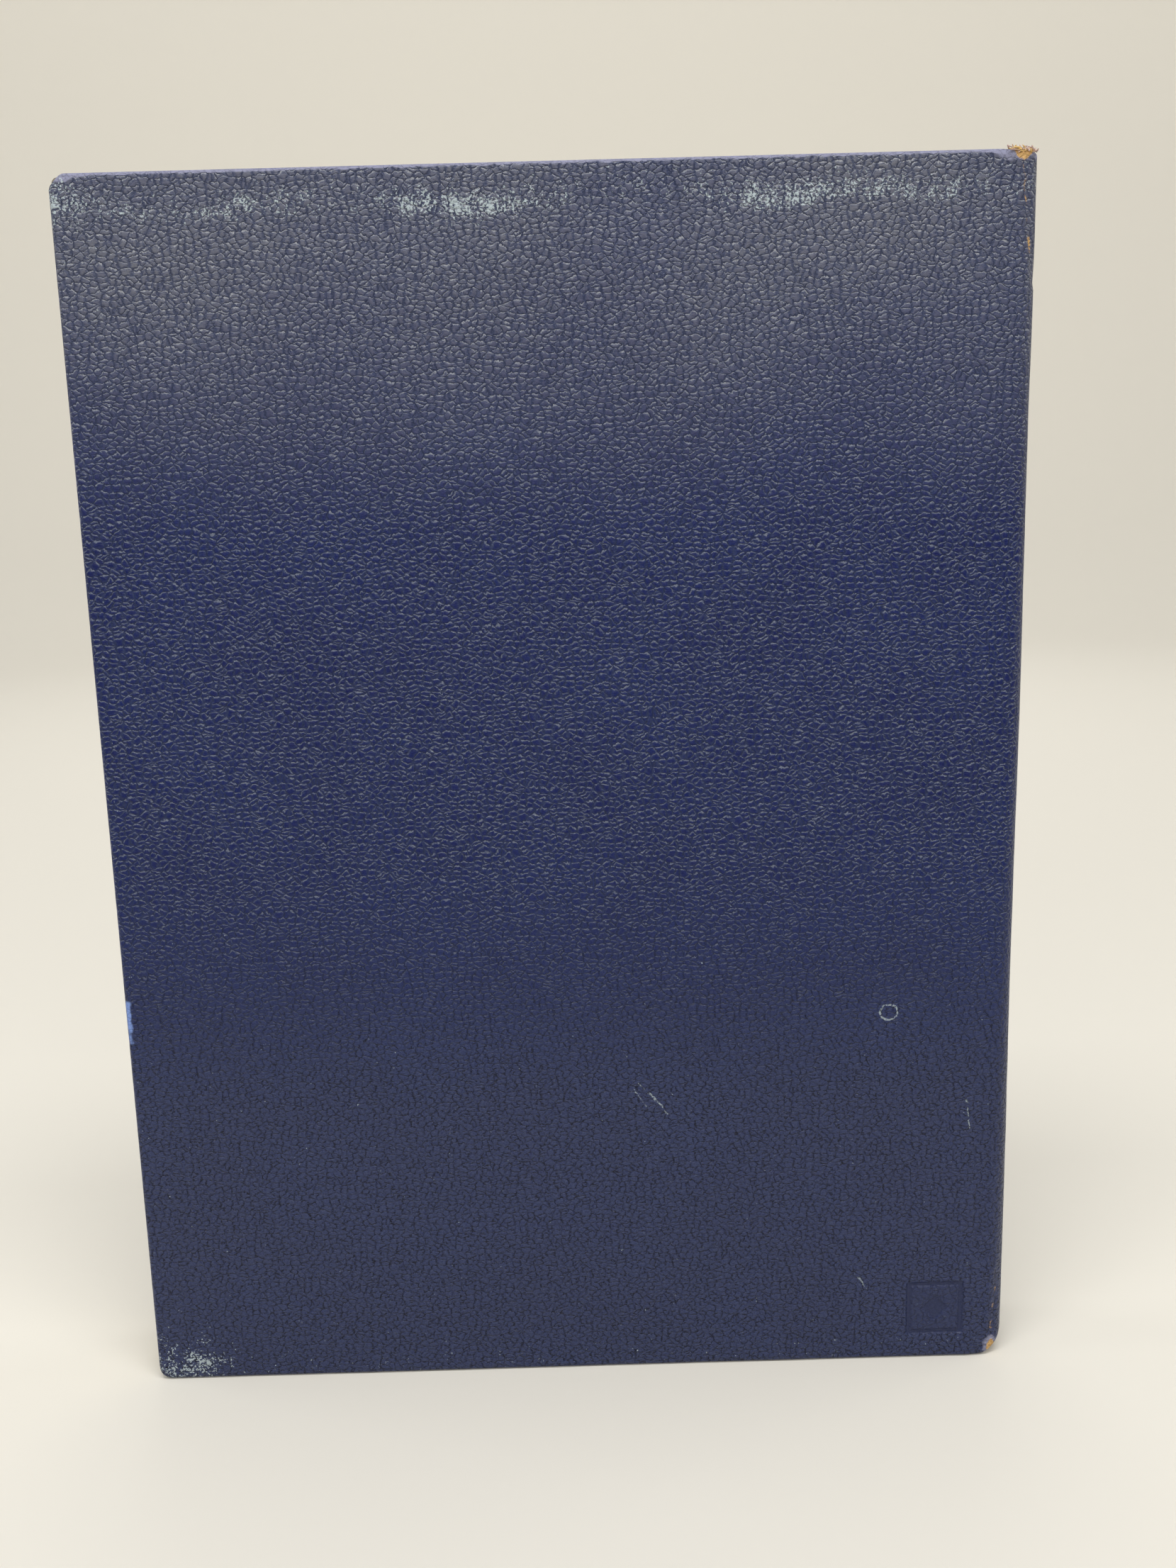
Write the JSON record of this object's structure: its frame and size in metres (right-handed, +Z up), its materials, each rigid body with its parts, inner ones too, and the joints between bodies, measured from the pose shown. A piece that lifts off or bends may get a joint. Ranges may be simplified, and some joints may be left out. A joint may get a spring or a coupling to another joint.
{
  "type": "pilot logbook",
  "caption": "Case-bound pilot logbook in dark blue grained leather, with hinged covers, flyleaves and turning leaves over sewn sections.",
  "frame": {"origin": "middle of the footprint on the surface that the closed book stands on", "axes": "+Z up along the spine, +X towards the spine, -Y towards the back cover"},
  "size_m": [0.203, 0.024, 0.273],
  "materials": {
    "navy_leather": "satin",
    "board_grey": "matte",
    "infill_card": "matte",
    "endpaper": "matte",
    "ledger_paper": "matte",
    "mull_gauze": "matte",
    "linen_tape": "matte",
    "linen_thread": "matte",
    "band_cloth": "matte",
    "kraft_paper": "matte"
  },
  "bodies": {
    "text_block": {"spine_leather": "navy_leather", "spine_card": "board_grey", "kraft_lining": "kraft_paper", "spine_mull": "mull_gauze", "sewing_tapes": "linen_tape", "sewing_thread": "linen_thread", "head_band": "band_cloth", "tail_band": "band_cloth", "section_1": "ledger_paper", "section_2": "ledger_paper", "section_3": "ledger_paper", "section_4": "ledger_paper", "section_5": "ledger_paper", "section_6": "ledger_paper", "section_7": "ledger_paper", "section_8": "ledger_paper"},
    "front_cover": {"front_board": "board_grey", "front_leather": "navy_leather", "front_infill": "infill_card", "front_mull_wing": "mull_gauze", "front_tape_ends": "linen_tape", "front_pastedown": "endpaper"},
    "front_flyleaf": {"front_flyleaf": "endpaper"},
    "front_leaf_1": {"front_leaf_1": "ledger_paper"},
    "front_leaf_2": {"front_leaf_2": "ledger_paper"},
    "front_leaf_3": {"front_leaf_3": "ledger_paper"},
    "front_leaf_4": {"front_leaf_4": "ledger_paper"},
    "back_cover": {"back_board": "board_grey", "back_leather": "navy_leather", "back_infill": "infill_card", "back_mull_wing": "mull_gauze", "back_tape_ends": "linen_tape", "back_pastedown": "endpaper"},
    "back_flyleaf": {"back_flyleaf": "endpaper"},
    "back_leaf_1": {"back_leaf_1": "ledger_paper"},
    "back_leaf_2": {"back_leaf_2": "ledger_paper"},
    "back_leaf_3": {"back_leaf_3": "ledger_paper"},
    "back_leaf_4": {"back_leaf_4": "ledger_paper"}
  },
  "joints": [
    {"name": "front_cover_hinge", "type": "hinge", "parent": "text_block", "child": "front_cover", "pos_m": [0.1015, 0.007, 0.1365], "axis": [0, 0, -1], "range_deg": [0, 178]},
    {"name": "front_flyleaf_turn", "type": "hinge", "parent": "text_block", "child": "front_flyleaf", "pos_m": [0.0962, 0.0073, 0.1365], "axis": [0, 0, -1], "range_deg": [0, 162.1]},
    {"name": "front_leaf_1_turn", "type": "hinge", "parent": "text_block", "child": "front_leaf_1", "pos_m": [0.0962, 0.0073, 0.1365], "axis": [0, 0, -1], "range_deg": [0, 147.8]},
    {"name": "front_leaf_2_turn", "type": "hinge", "parent": "text_block", "child": "front_leaf_2", "pos_m": [0.0962, 0.0073, 0.1365], "axis": [0, 0, -1], "range_deg": [0, 130]},
    {"name": "front_leaf_3_turn", "type": "hinge", "parent": "text_block", "child": "front_leaf_3", "pos_m": [0.0962, 0.0073, 0.1365], "axis": [0, 0, -1], "range_deg": [0, 106.9]},
    {"name": "front_leaf_4_turn", "type": "hinge", "parent": "text_block", "child": "front_leaf_4", "pos_m": [0.0962, 0.0073, 0.1365], "axis": [0, 0, -1], "range_deg": [0, 78.4]},
    {"name": "back_cover_hinge", "type": "hinge", "parent": "text_block", "child": "back_cover", "pos_m": [0.1015, -0.007, 0.1365], "axis": [0, 0, 1], "range_deg": [0, 178]},
    {"name": "back_flyleaf_turn", "type": "hinge", "parent": "text_block", "child": "back_flyleaf", "pos_m": [0.0962, -0.0073, 0.1365], "axis": [0, 0, 1], "range_deg": [0, 160.3]},
    {"name": "back_leaf_1_turn", "type": "hinge", "parent": "text_block", "child": "back_leaf_1", "pos_m": [0.0962, -0.0073, 0.1365], "axis": [0, 0, 1], "range_deg": [0, 142.5]},
    {"name": "back_leaf_2_turn", "type": "hinge", "parent": "text_block", "child": "back_leaf_2", "pos_m": [0.0962, -0.0073, 0.1365], "axis": [0, 0, 1], "range_deg": [0, 121.1]},
    {"name": "back_leaf_3_turn", "type": "hinge", "parent": "text_block", "child": "back_leaf_3", "pos_m": [0.0962, -0.0073, 0.1365], "axis": [0, 0, 1], "range_deg": [0, 94.4]},
    {"name": "back_leaf_4_turn", "type": "hinge", "parent": "text_block", "child": "back_leaf_4", "pos_m": [0.0962, -0.0073, 0.1365], "axis": [0, 0, 1], "range_deg": [0, 64.2]}
  ],
  "couplings": [
    {"joint": "front_flyleaf_turn", "follows": "front_cover_hinge", "ratio": 0.91},
    {"joint": "front_leaf_1_turn", "follows": "front_cover_hinge", "ratio": 0.83},
    {"joint": "front_leaf_2_turn", "follows": "front_cover_hinge", "ratio": 0.73},
    {"joint": "front_leaf_3_turn", "follows": "front_cover_hinge", "ratio": 0.6},
    {"joint": "front_leaf_4_turn", "follows": "front_cover_hinge", "ratio": 0.44},
    {"joint": "back_flyleaf_turn", "follows": "back_cover_hinge", "ratio": 0.9},
    {"joint": "back_leaf_1_turn", "follows": "back_cover_hinge", "ratio": 0.8},
    {"joint": "back_leaf_2_turn", "follows": "back_cover_hinge", "ratio": 0.68},
    {"joint": "back_leaf_3_turn", "follows": "back_cover_hinge", "ratio": 0.53},
    {"joint": "back_leaf_4_turn", "follows": "back_cover_hinge", "ratio": 0.36}
  ]
}
